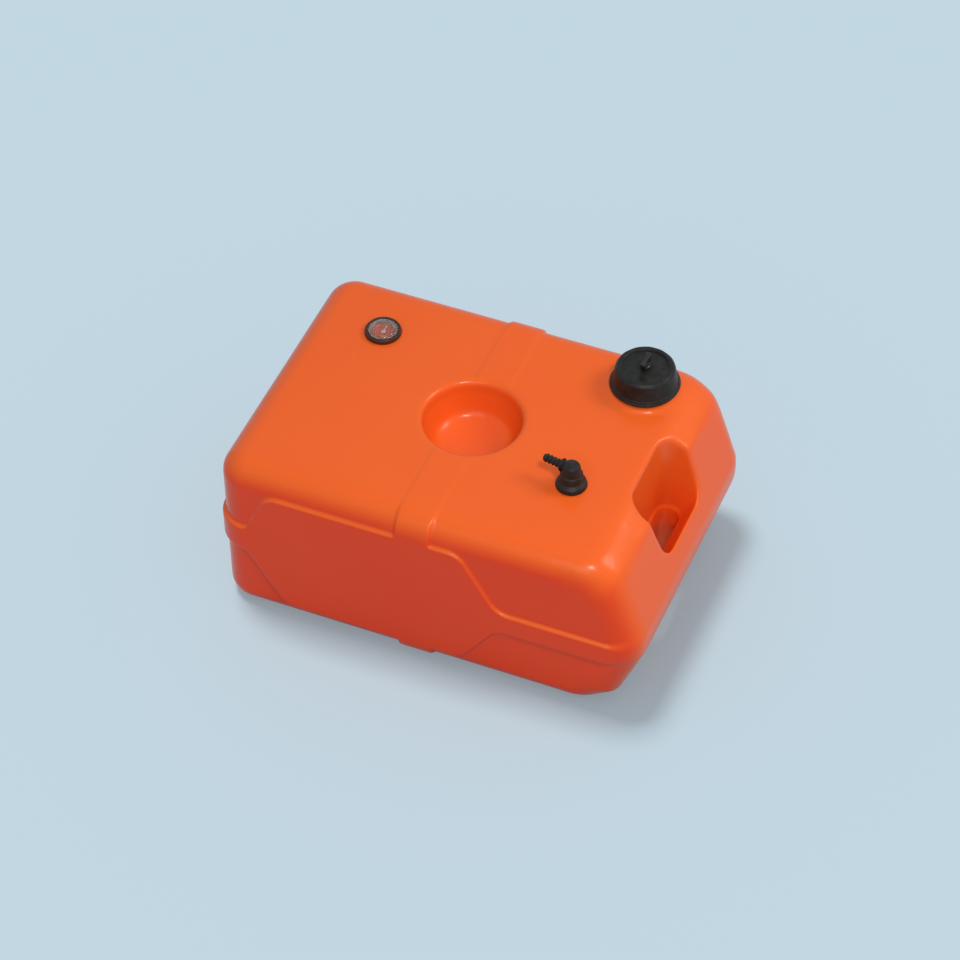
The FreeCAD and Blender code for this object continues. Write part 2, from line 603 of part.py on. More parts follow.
gauge_gasket = ring("gauge_gasket", "gauge_hole_radius + running_gap", "bezel_radius - running_gap", "0",
                    GASKET_RISE, GAUGE)
gauge_body = turned("gauge_body", [
    ("pin_radius + running_gap", PLUG_FOOT), ("gauge_hole_radius - running_gap", PLUG_FOOT),
    ("gauge_hole_radius - running_gap", GASKET_RISE), ("gauge_flange_radius", GASKET_RISE),
    ("gauge_flange_radius", FLANGE_TOP), ("gauge_cup_radius", FLANGE_TOP), ("gauge_cup_radius", CUP_FLOOR),
    ("pin_radius + running_gap", CUP_FLOOR)], GAUGE)
gauge_dial = ring("gauge_dial", "pin_radius + running_gap", "gauge_cup_radius - fit_gap", CUP_FLOOR,
                  CUP_FLOOR + " + dial_thickness", GAUGE)
gauge_bezel = turned("gauge_bezel", [
    ("gauge_flange_radius + fit_gap", GASKET_RISE), ("bezel_radius", GASKET_RISE),
    ("bezel_radius", "bezel_height - bezel_lip"), ("bezel_radius - bezel_lip", "bezel_height"),
    ("bezel_opening", "bezel_height"), ("bezel_opening", LENS_EDGE_TOP + " + fit_gap"),
    ("gauge_flange_radius + fit_gap", LENS_EDGE_TOP + " + fit_gap")], GAUGE)
LENS_WINDOW = "bezel_opening - fit_gap"
gauge_lens = turned("gauge_lens", [
    ("gauge_cup_radius - lens_thickness / 2", FLANGE_TOP), ("gauge_flange_radius", FLANGE_TOP),
    ("gauge_flange_radius", LENS_EDGE_TOP), (LENS_WINDOW, LENS_EDGE_TOP),
    (LENS_WINDOW, "bezel_height - fit_gap"), ("lens_step_radius", "bezel_height + fit_gap"),
    ("lens_step_radius - lens_thickness / 2", "lens_height - lens_thickness"),
    ("lens_crown_radius", "lens_height - lens_crown_drop"), ("0", "lens_height"),
    ("0", "lens_height - lens_thickness"),
    ("lens_crown_radius", "lens_height - lens_crown_drop - lens_thickness"),
    ("gauge_cup_radius - lens_thickness / 2", "bezel_height - fit_gap")], GAUGE)

rods = doc.addObject("Part::Feature", "gauge_guides")
rod_foot = size(FOOT_TOP)
rod_length = size("tank_height - gauge_plug_depth") - rod_foot
rods.Shape = Part.makeCompound([
    Part.makeCylinder(size("rod_radius"), rod_length, Vector(side * size("rod_offset"), 0, rod_foot))
    for side in (-1, 1)])
place(rods, FLOOR_GAUGE)

gauge_foot = ring("gauge_foot", "pin_radius + running_gap", "foot_disc_radius", "foot_lift", FOOT_TOP,
                  FLOOR_GAUGE)


def drilled(body, name, spots, radius, low, high):
    """Round holes up through a body at (x, y) spots of its own frame."""
    doc.recompute()
    before = body.Tip.Shape.Volume
    sketch = body.newObject("Sketcher::SketchObject", name + "_circles")
    plane = next(item for item in body.Origin.OriginFeatures if item.Role == "XY_Plane")
    sketch.AttachmentSupport = [(plane, "")]
    sketch.MapMode = "FlatFace"
    sketch.setExpression("AttachmentOffset.Base.z", cells(high))
    for number, (x, y) in enumerate(spots):
        centre = Vector(size(x), size(y), 0)
        sketch.addGeometry(Part.Circle(centre, Vector(0, 0, 1), size(radius)), False)
        for kind, axis, text in (("DistanceX", -2, x), ("DistanceY", -1, y)):
            if text == "0":
                sketch.addConstraint(Sketcher.Constraint("PointOnObject", number, 3, axis))
            else:
                index = sketch.addConstraint(Sketcher.Constraint(kind, -1, 1, number, 3, size(text)))
                sketch.setExpression("Constraints[%d]" % index, cells(text))
        index = sketch.addConstraint(Sketcher.Constraint("Radius", number, size(radius)))
        sketch.setExpression("Constraints[%d]" % index, cells(radius))
    pocket = body.newObject("PartDesign::Pocket", name)
    pocket.Profile = sketch
    pocket.Reversed = False
    tie(pocket, Length="(%s) - (%s)" % (high, low))
    body.Tip = pocket
    doc.recompute()
    if body.Tip.Shape.Volume > before - 1:
        raise ValueError(name + " cuts nothing")


ROD_SPOTS = [("-rod_offset", "0"), ("rod_offset", "0")]
gauge_float = ring("gauge_float", "strip_width / 2 + 2 * running_gap", "float_radius", FLOAT_FOOT, FLOAT_TOP,
                   FLOOR_GAUGE)
rounded(gauge_float, "float_edge", lambda body: circles_at(body, [
    ("float_radius", FLOAT_FOOT), ("float_radius", FLOAT_TOP)]))
drilled(gauge_float, "rod_holes", ROD_SPOTS, "rod_radius + running_gap", FLOAT_FOOT, FLOAT_TOP)

# The strip's angle at the follower is the same at every height of the float, because the strip turns.
strip_low = size(FOOT_TOP + " + running_gap")
strip_high = size("tank_height - gauge_plug_depth - running_gap")
twist = size("strip_turn / float_travel")
STRIP_STEP = 20  # degrees of twist from one section of the strip to the next
PIN_BITE = 1  # the pins run this far into the strip


def strip_section(level):
    """Cross section of the twisted strip at a level."""
    width, thickness = size("strip_width / 2"), size("strip_thickness / 2")
    corners = [(-width, -thickness), (width, -thickness), (width, thickness), (-width, thickness)]
    wire = Part.makePolygon([Vector(x, y, level) for x, y in corners + corners[:1]])
    wire.rotate(Vector(0, 0, 0), Vector(0, 0, 1), twist * (level - strip_low))
    return wire


def twisted_strip():
    """Strip with a round pin at each end."""
    steps = math.ceil(twist * (strip_high - strip_low) / STRIP_STEP)
    levels = [strip_low + (strip_high - strip_low) * step / steps for step in range(steps + 1)]
    strip = Part.makeLoft([strip_section(level) for level in levels], True, False)
    pin = size("pin_radius")
    low_end = size("foot_lift")
    top_end = size("tank_height") + size(CUP_FLOOR) + size("dial_thickness + 2 * running_gap")
    foot_pin = Part.makeCylinder(pin, strip_low - low_end + PIN_BITE, Vector(0, 0, low_end))
    top_pin = Part.makeCylinder(pin, top_end - strip_high + PIN_BITE, Vector(0, 0, strip_high - PIN_BITE))
    return strip.fuse([foot_pin, top_pin])


spindle = doc.addObject("Part::Feature", "gauge_spindle")
spindle.Shape = twisted_strip()
place(spindle, FLOOR_GAUGE)

follower_disc = cylinder("follower_disc", "follower_radius", "follower_thickness", lifted(FLOOR_GAUGE, FLOAT_TOP))
slot = doc.addObject("Part::Box", "follower_slot")
tie(slot, Length="strip_width + 2 * follower_slack", Width="strip_thickness + 2 * follower_slack",
    Height="3 * follower_thickness")
follower_level = size(FLOAT_TOP + " + follower_thickness / 2")
slot_turn = FreeCAD.Rotation(Vector(0, 0, 1), twist * (follower_level - strip_low))
corner = Vector(-size("strip_width / 2 + follower_slack"), -size("strip_thickness / 2 + follower_slack"), 0)
slot.Placement = FreeCAD.Placement(
    Vector(size(GAUGE[0]), size(GAUGE[1]), size(FLOAT_TOP + " - follower_thickness")) + slot_turn.multVec(corner),
    slot_turn)
float_follower = joined("float_follower", "Part::Cut", Base=follower_disc, Tool=slot)

POINTER_FOOT = CUP_FLOOR + " + dial_thickness + 2 * running_gap"
gauge_pointer = ring("gauge_pointer", "pin_radius / 2", "pointer_width", POINTER_FOOT,
                     POINTER_FOOT + " + pointer_thickness", GAUGE)
hand = gauge_pointer.newObject("PartDesign::Pad", "pointer_hand")
hand.Profile = sketch_of(gauge_pointer, "pointer_hand_outline", "XY_Plane", [
    ("-pointer_width / 2", "pin_radius"), ("pointer_width / 2", "pin_radius"),
    ("pointer_tip / 2", "pointer_length"), ("-pointer_tip / 2", "pointer_length")])
hand.Profile[0].setExpression("AttachmentOffset.Base.z", cells(POINTER_FOOT))
tie(hand, Length="pointer_thickness")
gauge_pointer.Tip = hand


# Fuel outlet: a flanged fitting in the deck, a swivel elbow held by a clip, a tube and its strainer.
SEAT_RISE = "outlet_gasket_thickness"
FLANGE_RISE = SEAT_RISE + " + outlet_flange_height"
HEAD_FOOT = "gland_height + running_gap"
CLIP_TOP = "-clip_shelf - running_gap"
CLIP_FOOT = CLIP_TOP + " - clip_thickness"
STEM_FOOT = CLIP_FOOT + " - stem_tail"
STEM_RADIUS = "swivel_bore_radius - running_gap"
SEAL_GROOVE = "swivel_bore_radius - fit_gap - 2 * seal_section - fit_gap / 2"
GROOVE_TOP = "-seal_depth + seal_section + seal_play"
GROOVE_FOOT = "-seal_depth - seal_section - seal_play"

outlet_gasket = ring("outlet_gasket", "spigot_radius + spigot_gap", "outlet_gasket_radius", "0", SEAT_RISE,
                     OUTLET)
outlet_gland = turned("outlet_gland", [
    ("swivel_bore_radius", "-clip_shelf"), ("chamber_radius", "-clip_shelf"),
    ("chamber_radius", "-spigot_depth"), ("spigot_radius", "-spigot_depth"), ("spigot_radius", SEAT_RISE),
    ("outlet_flange_radius", SEAT_RISE), ("outlet_flange_radius", FLANGE_RISE),
    ("gland_waist_radius", "gland_waist_level"), ("gland_shoulder_radius", "gland_shoulder_level"),
    ("gland_head_radius", "gland_height"), ("swivel_bore_radius", "gland_height")], OUTLET)
elbow = turned("outlet_elbow", [
    ("0", STEM_FOOT), (STEM_RADIUS, STEM_FOOT), (STEM_RADIUS, CLIP_FOOT + " - fit_gap"),
    ("clip_groove_radius", CLIP_FOOT + " - fit_gap"), ("clip_groove_radius", CLIP_TOP + " + fit_gap"),
    (STEM_RADIUS, CLIP_TOP + " + fit_gap"), (STEM_RADIUS, GROOVE_FOOT), (SEAL_GROOVE, GROOVE_FOOT),
    (SEAL_GROOVE, GROOVE_TOP), (STEM_RADIUS, GROOVE_TOP), (STEM_RADIUS, HEAD_FOOT),
    ("elbow_collar_radius", HEAD_FOOT), ("elbow_collar_radius", HEAD_FOOT + " + elbow_collar_height"),
    ("elbow_radius", HEAD_FOOT + " + elbow_collar_height"), ("elbow_radius", "elbow_height - elbow_dome"),
    ("elbow_shoulder_radius", "elbow_height - elbow_shoulder_drop"), ("elbow_crown_radius", "elbow_height"),
    ("0", "elbow_height")], OUTLET)
ridges = []
for ridge in reversed(range(round(size("barb_count")))):
    tip = "barb_reach - %d * barb_pitch" % ridge
    crest = tip + " - barb_slope"
    ridges += [(crest, "barb_radius"), (crest, "barb_ridge_radius"), (tip, "barb_radius")]
barb = elbow.newObject("PartDesign::Revolution", "elbow_barb")
barb.Profile = sketch_of(elbow, "elbow_barb_outline", "XZ_Plane", [
    ("0", "0"), ("0", "arm_radius"), ("arm_reach", "arm_radius"), ("arm_reach", "barb_radius")]
    + ridges + [("barb_reach", "0")])
barb.Profile[0].setExpression("AttachmentOffset.Base.y", cells("barb_level"))
barb.ReferenceAxis = (barb.Profile[0], ["H_Axis"])
barb.Angle = 360
elbow.Tip = barb
doc.recompute()


def bored(body, name, outline, axis, level):
    """A turned cut in a body, about one of the axes of its sketch, which is lifted to a level."""
    before = body.Tip.Shape.Volume
    groove = body.newObject("PartDesign::Groove", name)
    groove.Profile = sketch_of(body, name + "_outline", "XZ_Plane", outline)
    groove.Profile[0].setExpression("AttachmentOffset.Base.y", cells(level))
    groove.ReferenceAxis = (groove.Profile[0], [axis])
    groove.Angle = 360
    body.Tip = groove
    doc.recompute()
    if body.Tip.Shape.Volume > before - 1:
        raise ValueError(name + " cuts nothing")


bored(elbow, "elbow_stem_bore", [
    ("0", STEM_FOOT), ("stem_bore_radius", STEM_FOOT), ("stem_bore_radius", "barb_level + stem_bore_radius"),
    ("0", "barb_level + stem_bore_radius")], "V_Axis", "0")
bored(elbow, "elbow_barb_bore", [
    ("0", "0"), ("barb_reach", "0"), ("barb_reach", "barb_bore_radius"), ("0", "barb_bore_radius")],
    "H_Axis", "barb_level")
elbow.setExpression("Placement.Rotation.Angle", cells("barb_angle"))

elbow_seal = doc.addObject("Part::Torus", "elbow_seal")
tie(elbow_seal, Radius1="swivel_bore_radius - fit_gap - seal_section", Radius2="seal_section")
place(elbow_seal, lifted(OUTLET, "-seal_depth"))

clip_disc = cylinder("clip_disc", "clip_radius", "clip_thickness", lifted(OUTLET, CLIP_FOOT))
clip_eye = cylinder("clip_eye", "clip_groove_radius + fit_gap", "3 * clip_thickness",
                    lifted(OUTLET, CLIP_FOOT + " - clip_thickness"))
clip_gap = doc.addObject("Part::Box", "clip_gap")
tie(clip_gap, Length="2 * clip_radius", Width="clip_mouth", Height="3 * clip_thickness")
place(clip_gap, (OUTLET[0], OUTLET[1] + " - clip_mouth / 2",
                 OUTLET[2] + " + " + CLIP_FOOT + " - clip_thickness"))
clip_cuts = joined("clip_cuts", "Part::MultiFuse", Shapes=[clip_eye, clip_gap])
elbow_clip = joined("elbow_clip", "Part::Cut", Base=clip_disc, Tool=clip_cuts)

TUBE_FOOT = "tube_foot_lift - tank_height"
PLUG_TOP = "tube_plug_height - spigot_depth"
pickup_tube = turned("pickup_tube", [
    ("tube_bore_radius", TUBE_FOOT), ("tube_radius", TUBE_FOOT), ("tube_radius", "-spigot_depth"),
    ("chamber_radius - fit_gap", "-spigot_depth"), ("chamber_radius - fit_gap", PLUG_TOP),
    ("tube_bore_radius", PLUG_TOP)], OUTLET)
FLOOR_OUTLET = (OUTLET[0], OUTLET[1], "0")
CAGE_TOP = "strainer_lift + strainer_height"
strainer = turned("strainer", [
    ("0", "strainer_lift"), ("strainer_radius", "strainer_lift"), ("strainer_radius", CAGE_TOP),
    ("tube_radius + fit_gap", CAGE_TOP), ("tube_radius + fit_gap", CAGE_TOP + " - strainer_slot_margin / 2"),
    ("strainer_radius - strainer_wall", CAGE_TOP + " - strainer_slot_margin / 2"),
    ("strainer_radius - strainer_wall", "strainer_lift + strainer_wall"),
    ("0", "strainer_lift + strainer_wall")], FLOOR_OUTLET)
doc.recompute()
closed_volume = strainer.Tip.Shape.Volume
cage_slot = strainer.newObject("PartDesign::Pocket", "strainer_slot")
cage_slot.Profile = sketch_of(strainer, "strainer_slot_outline", "XZ_Plane", [
    ("-strainer_slot_width / 2", "strainer_lift + strainer_slot_margin"),
    ("strainer_slot_width / 2", "strainer_lift + strainer_slot_margin"),
    ("strainer_slot_width / 2", CAGE_TOP + " - strainer_slot_margin"),
    ("-strainer_slot_width / 2", CAGE_TOP + " - strainer_slot_margin")])
cage_slot.Midplane = True
tie(cage_slot, Length="3 * strainer_radius")
strainer.Tip = cage_slot
doc.recompute()
slots = strainer.newObject("PartDesign::PolarPattern", "strainer_slots")
slots.Originals = [cage_slot]
slots.Axis = (cage_slot.Profile[0], ["V_Axis"])
slots.Angle = 180
tie(slots, Occurrences="strainer_slot_pairs")
strainer.Tip = slots
doc.recompute()
if strainer.Tip.Shape.Volume > closed_volume - 10:
    raise ValueError("the strainer's slots cut nothing")

PIECES = [
    tank_shell, cap_cover, cap_insert, cap_gasket, vent_screw, vent_seal, gauge_bezel, gauge_lens,
    gauge_gasket, gauge_body, gauge_dial, gauge_pointer, spindle, rods, gauge_foot, gauge_float,
    float_follower, outlet_gland, outlet_gasket, elbow, elbow_seal, elbow_clip, pickup_tube, strainer,
]

doc.recompute()
for thing in doc.Objects:
    if {"Invalid", "Error"} & set(thing.State):
        raise ValueError("%s is %s" % (thing.Label, thing.State))
os.makedirs("parts", exist_ok=True)
for piece in PIECES:
    shape = piece.Shape
    if shape.isNull() or not shape.isValid():
        raise ValueError(piece.Label + " has no valid shape")
for piece in PIECES:
    piece.Shape.exportStep(os.path.join("parts", piece.Label + ".step"))
    print(piece.Label, len(piece.Shape.Solids), round(piece.Shape.Volume / 1000, 3))
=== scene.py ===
import math
import bmesh
import bpy
import numpy as np
from mathutils import Matrix, Vector


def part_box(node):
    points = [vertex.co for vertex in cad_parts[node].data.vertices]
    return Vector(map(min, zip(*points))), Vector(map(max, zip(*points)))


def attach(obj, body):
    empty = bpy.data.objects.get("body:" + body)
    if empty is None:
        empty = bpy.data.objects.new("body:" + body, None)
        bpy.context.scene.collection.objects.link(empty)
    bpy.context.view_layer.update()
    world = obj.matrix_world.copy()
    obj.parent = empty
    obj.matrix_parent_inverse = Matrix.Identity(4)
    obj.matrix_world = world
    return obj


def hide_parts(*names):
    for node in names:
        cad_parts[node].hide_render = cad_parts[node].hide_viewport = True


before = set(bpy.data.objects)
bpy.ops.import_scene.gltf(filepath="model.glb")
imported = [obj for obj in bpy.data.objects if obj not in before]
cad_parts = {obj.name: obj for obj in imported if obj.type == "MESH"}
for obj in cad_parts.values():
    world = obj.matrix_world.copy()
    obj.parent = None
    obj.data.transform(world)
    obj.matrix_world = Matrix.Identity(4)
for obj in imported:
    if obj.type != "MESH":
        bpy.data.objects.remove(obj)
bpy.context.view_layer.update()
scene = bpy.context.scene
scene.view_settings.view_transform = "Standard"


# Studio. A wide pale blue floor under even sky light. One soft lamp above left draws the shadow on the
# floor, and soft boxes to the right of the camera, above it and behind on the right light the tank alone.
def linear(code):
    """An sRGB hex colour as the linear numbers that lamps and shaders take."""
    shares = [int(code[place:place + 2], 16) / 255 for place in (1, 3, 5)]
    return [share / 12.92 if share <= 0.04045 else ((share + 0.055) / 1.055) ** 2.4
            for share in shares] + [1]


def add(tree, kind, links=None, **settings):
    """Add a node with its settings. Links are values or other nodes' sockets, by input name or number."""
    node = tree.nodes.new(kind)
    for name, value in settings.items():
        setattr(node, name, value)
    for place, value in (links or {}).items():
        if isinstance(value, bpy.types.NodeSocket):
            tree.links.new(value, node.inputs[place])
        else:
            node.inputs[place].default_value = value
    return node


FLOOR_COLOUR = linear("#C2D7E2")
FLOOR_REACH = 12
EVEN_SHARE = 0.34  # how much of the floor's own brightness stays in the shade, as the camera sees it
FLOOR_LIFT = 1.08  # the floor's lamp is this much over what brings the open floor to its own colour
SKY_COLOUR = linear("#F7FAFC")
SKY_STRENGTH = 0.45
TANK_MIDDLE = Vector((0, 0, 0.1))

sky = bpy.data.worlds.new("studio_sky")
scene.world = sky
sky.use_nodes = True
sky_tree = sky.node_tree
sky_tree.nodes.clear()


def seen_rays(tree):
    """1 for rays from the camera, and for those that a gloss or a clear piece sends on."""
    rays = add(tree, "ShaderNodeLightPath")
    some = add(tree, "ShaderNodeMath", {0: rays.outputs["Is Camera Ray"], 1: rays.outputs["Is Glossy Ray"]},
               operation="MAXIMUM")
    return add(tree, "ShaderNodeMath", {0: some.outputs[0], 1: rays.outputs["Is Transmission Ray"]},
               operation="MAXIMUM").outputs[0]


backdrop = add(sky_tree, "ShaderNodeBackground", {"Color": FLOOR_COLOUR, "Strength": 1})
even_light = add(sky_tree, "ShaderNodeBackground", {"Color": SKY_COLOUR, "Strength": SKY_STRENGTH})
seen = add(sky_tree, "ShaderNodeMixShader",
           {0: seen_rays(sky_tree), 1: even_light.outputs[0], 2: backdrop.outputs[0]})
add(sky_tree, "ShaderNodeOutputWorld", {"Surface": seen.outputs[0]})

floor_mesh = bpy.data.meshes.new("floor")
floor_corners = [(x * FLOOR_REACH, y * FLOOR_REACH, 0) for x, y in ((-1, -1), (1, -1), (1, 1), (-1, 1))]
floor_mesh.from_pydata(floor_corners, [], [(0, 1, 2, 3)])
floor = bpy.data.objects.new("floor", floor_mesh)
scene.collection.objects.link(floor)
floor_paint = bpy.data.materials.new("studio_floor_paint")
floor_paint.use_nodes = True
floor_tree = floor_paint.node_tree
floor_tree.nodes.clear()
matt = add(floor_tree, "ShaderNodeBsdfDiffuse", {"Color": FLOOR_COLOUR})
even = add(floor_tree, "ShaderNodeEmission", {"Color": FLOOR_COLOUR, "Strength": 1})
even_part = add(floor_tree, "ShaderNodeMath", {0: seen_rays(floor_tree), 1: EVEN_SHARE},
                operation="MULTIPLY")
paint = add(floor_tree, "ShaderNodeMixShader",
            {0: even_part.outputs[0], 1: matt.outputs[0], 2: even.outputs[0]})
add(floor_tree, "ShaderNodeOutputMaterial", {"Surface": paint.outputs[0]})
floor_mesh.materials.append(floor_paint)

floor_only = bpy.data.collections.new("floor_only")
floor_only.objects.link(floor)
not_floor = bpy.data.collections.new("not_floor")
not_floor.objects.link(floor)
not_floor.collection_objects[0].light_linking.link_state = "EXCLUDE"


def lamp(name, kind, energy, place, lights, **settings):
    """A lamp at a place, aimed at the middle of the tank, that lights one collection."""
    light = bpy.data.lights.new(name, kind)
    light.energy = energy
    for setting, value in settings.items():
        setattr(light, setting, value)
    holder = bpy.data.objects.new(name, light)
    scene.collection.objects.link(holder)
    holder.location = place
    aim = TANK_MIDDLE - Vector(place)
    holder.rotation_euler = aim.to_track_quat("-Z", "Y").to_euler()
    holder.light_linking.receiver_collection = lights
    return holder


lamp("floor_shadow_lamp", "SUN", math.pi * (1 - SKY_STRENGTH) * FLOOR_LIFT, (-0.75, 0.36, 3), floor_only,
     angle=math.radians(17))
lamp("key_box", "AREA", 21.5, (0.93, -0.93, 2.2), not_floor, size=0.32, color=(1, 0.93, 0.82))
lamp("fill_box", "AREA", 14.5, (0.3, -2.0, 2.3), not_floor, size=1.6, color=(1, 0.95, 0.88))
lamp("side_box", "AREA", 21, (1.7, 0.9, 1.9), not_floor, size=0.9, color=(1, 0.94, 0.86))

CAMERA_ANGLES = (23.308, 46.129, -0.937)  # degrees round from the front, up, and rolled
CAMERA_PLACE = (1.06372, -2.47384, 2.91445)
CAMERA_LENS = 136.25
azimuth, elevation, roll = (math.radians(angle) for angle in CAMERA_ANGLES)
back = Vector((math.sin(azimuth) * math.cos(elevation), -math.cos(azimuth) * math.cos(elevation),
               math.sin(elevation)))
level = Vector((math.cos(azimuth), math.sin(azimuth), 0))
right = level * math.cos(roll) + back.cross(level) * math.sin(roll)
camera = bpy.data.objects.new("camera", bpy.data.cameras.new("camera"))
scene.collection.objects.link(camera)
camera.matrix_world = Matrix.Translation(CAMERA_PLACE) @ Matrix(
    (right, back.cross(right), back)).transposed().to_4x4()
camera.data.lens = CAMERA_LENS
camera.data.clip_end = 100
scene.camera = camera


# Tank shell. One hollow moulding of pigmented high-density polyethylene, blown in a mould whose sand
# grain it keeps. Belt, side panels, strap band, round recess and handle are all part of the one wall.
MM = 0.001
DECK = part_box("gauge_gasket")[0].z
HOLE_NODES = ("cap_cover", "gauge_bezel", "outlet_gland")
FILLER, GAUGE, OUTLET = (sum(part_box(node), Vector()) / 2 for node in HOLE_NODES)
HOLES = [(FILLER, 22.8 * MM), (GAUGE, 15.5 * MM), (OUTLET, 12.7 * MM)]  # each one's middle and radius
WELL = 16 * MM  # the outside is taken down this far in each hole, past the bosses under the deck
VOXEL = 1.4 * MM
SHELL_TRIANGLES = 165000  # how many its outside keeps
BELT_MIDDLE = 93 * MM
RECESS_MIDDLE = -9.5 * MM
RECESS_FOOT_RADIUS = 47 * MM
RECESS_FLOOR = DECK - 44 * MM

# How far the edges are rounded, first all of them and then by place.
EDGE_SOFTNESS = 1.4 * MM
RIM_SOFTNESS = 3.2 * MM
NOSE_SOFTNESS = 5 * MM
RECESS_SOFTNESS = 15 * MM
BEND_SOFTNESS = 9 * MM

# Spans in mm over which each place fades in, from no rounding to full rounding.
ABOVE_SLOT, BELOW_SLOT = (107, 124), (78, 60)
POCKET_BACK, POCKET_SIDES = (168, 178), (78, 68)
NOSE_START, BELT_EDGES = (208, 226), (36, 24)
RECESS_EDGE, RECESS_WALL, UNDER_RECESS = (8, 4), (30, 18), (-4, -2)
BEND_START, BEND_FOOT, BESIDE_POCKET = (140, 160), (-42, -26), (76, 90)


def in_hole(face):
    """Whether a face lies on the wall of one of the three holes."""
    for middle, radius in HOLES:
        if all((vert.co.xy - middle.xy).length < radius + 0.1 * MM and vert.co.z > DECK - WELL
               for vert in face.verts):
            return True
    return False


def skin_from(source, outside):
    """A closed mesh of a shell's outer or inner skin, with its holes run down and filled."""
    skin = bmesh.new()
    skin.from_mesh(source)
    bmesh.ops.remove_doubles(skin, verts=skin.verts, dist=1e-6)
    bmesh.ops.delete(skin, geom=[face for face in skin.faces if in_hole(face)], context="FACES")
    seed = max(skin.faces, key=lambda face: face.calc_center_median().x)
    reached, front = {seed}, [seed]
    while front:
        for edge in front.pop().edges:
            for face in edge.link_faces:
                if face not in reached:
                    reached.add(face)
                    front.append(face)
    unwanted = [face for face in skin.faces if (face in reached) != outside]
    bmesh.ops.delete(skin, geom=unwanted, context="FACES")
    rims = [edge for edge in skin.edges if edge.is_boundary]
    walls = bmesh.ops.extrude_edge_only(skin, edges=rims)["geom"]
    for item in walls:
        if isinstance(item, bmesh.types.BMVert):
            item.co.z = DECK - WELL
    bmesh.ops.holes_fill(skin, edges=[edge for edge in skin.edges if edge.is_boundary])
    bmesh.ops.recalc_face_normals(skin, faces=skin.faces)
    return skin


def as_object(name, shape):
    """An object from a bmesh, which is used up."""
    mesh = bpy.data.meshes.new(name)
    shape.to_mesh(mesh)
    shape.free()
    thing = bpy.data.objects.new(name, mesh)
    scene.collection.objects.link(thing)
    return thing


def baked(thing):
    """Replace an object's mesh by what its modifiers make of it."""
    view = bpy.context.evaluated_depsgraph_get()
    mesh = bpy.data.meshes.new_from_object(thing.evaluated_get(view))
    thing.modifiers.clear()
    thing.data = mesh


def remeshed(thing, voxel):
    """Give an object an even skin of small squares."""
    step = thing.modifiers.new("remesh", "REMESH")
    step.mode, step.voxel_size = "VOXEL", voxel
    baked(thing)


def thinned(thing, share):
    """Keep this share of an object's triangles, fewest where it is flat."""
    step = thing.modifiers.new("thin", "DECIMATE")
    step.ratio = share
    baked(thing)


def cut(thing, tool):
    """Take a tool's solid out of an object, and remove the tool."""
    step = thing.modifiers.new("cut", "BOOLEAN")
    step.operation, step.solver, step.object = "DIFFERENCE", "MANIFOLD", tool
    baked(thing)
    bpy.data.objects.remove(tool)


def relaxed(thing, softness, spacing, share):
    """Round an object's edges: its points drift to their neighbours, by each one's share from 0 to 1."""
    # Each pass goes half way to the neighbours, so the passes grow with the square of the softness.
    mesh = thing.data
    points = np.empty(len(mesh.vertices) * 3)
    mesh.vertices.foreach_get("co", points)
    points = points.reshape(-1, 3)
    pull = 0.5 * share(points)
    loose = np.flatnonzero(pull)
    number = np.zeros(len(points), int)
    number[loose] = np.arange(len(loose))
    edges = np.empty(len(mesh.edges) * 2, int)
    mesh.edges.foreach_get("vertices", edges)
    starts, ends = edges.reshape(-1, 2).T
    here, there = np.concatenate([starts, ends]), np.concatenate([ends, starts])
    here, there = here[pull[here] > 0], there[pull[here] > 0]
    count = np.bincount(number[here], minlength=len(loose))[:, None]
    for _ in range(round(4 * (softness / spacing) ** 2)):
        total = [np.bincount(number[here], points[there, axis], len(loose)) for axis in range(3)]
        points[loose] += pull[loose, None] * (np.stack(total, 1) / count - points[loose])
    mesh.vertices.foreach_set("co", points.ravel())
    mesh.update()


def ramp(values, span, base=0):
    """0 before a span of mm from a base, 1 after it, straight between. A span may run downwards."""
    start, end = (base + limit * MM for limit in span)
    return np.clip((values - start) / (end - start), 0, 1)


def everywhere(points):
    """1 at each point."""
    return np.ones(len(points))


def pocket_rims(points):
    """1 round the upper and lower rims of the hand pocket, fading to 0 at the finger slot and beyond."""
    x, y, z = points.T
    rims = np.maximum(ramp(z, ABOVE_SLOT), ramp(z, BELOW_SLOT))
    return rims * ramp(x, POCKET_BACK) * ramp(abs(y), POCKET_SIDES)


def nose_belt(points):
    """1 round the nose, where the belt fades into one full curve, and 0 along the sides."""
    x, y, z = points.T
    return ramp(x, NOSE_START) * ramp(abs(z - BELT_MIDDLE), BELT_EDGES)


def recess_foot(points):
    """1 round the foot of the round recess, where its wall runs into its floor in one bowl."""
    x, y, z = points.T
    inside = ramp(np.hypot(x - RECESS_MIDDLE, y), RECESS_EDGE, RECESS_FOOT_RADIUS)
    return inside * ramp(z, RECESS_WALL, RECESS_FLOOR) * ramp(z, UNDER_RECESS, RECESS_FLOOR)


def deck_bend(points):
    """1 where the deck bends down to the slope above the nose, outside the hand pocket."""
    x, y, z = points.T
    return ramp(x, BEND_START) * ramp(z, BEND_FOOT, DECK) * ramp(abs(y), BESIDE_POCKET)


shell_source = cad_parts["tank_shell"].data
tank = as_object("tank_moulding", skin_from(shell_source, outside=True))
cavity = as_object("tank_cavity", skin_from(shell_source, outside=False))
remeshed(tank, VOXEL)
relaxed(tank, EDGE_SOFTNESS, VOXEL, everywhere)
relaxed(tank, RIM_SOFTNESS, VOXEL, pocket_rims)
relaxed(tank, NOSE_SOFTNESS, VOXEL, nose_belt)
relaxed(tank, RECESS_SOFTNESS, VOXEL, recess_foot)
relaxed(tank, BEND_SOFTNESS, VOXEL, deck_bend)
thinned(tank, min(1, SHELL_TRIANGLES / (2 * len(tank.data.polygons))))
cut(tank, cavity)


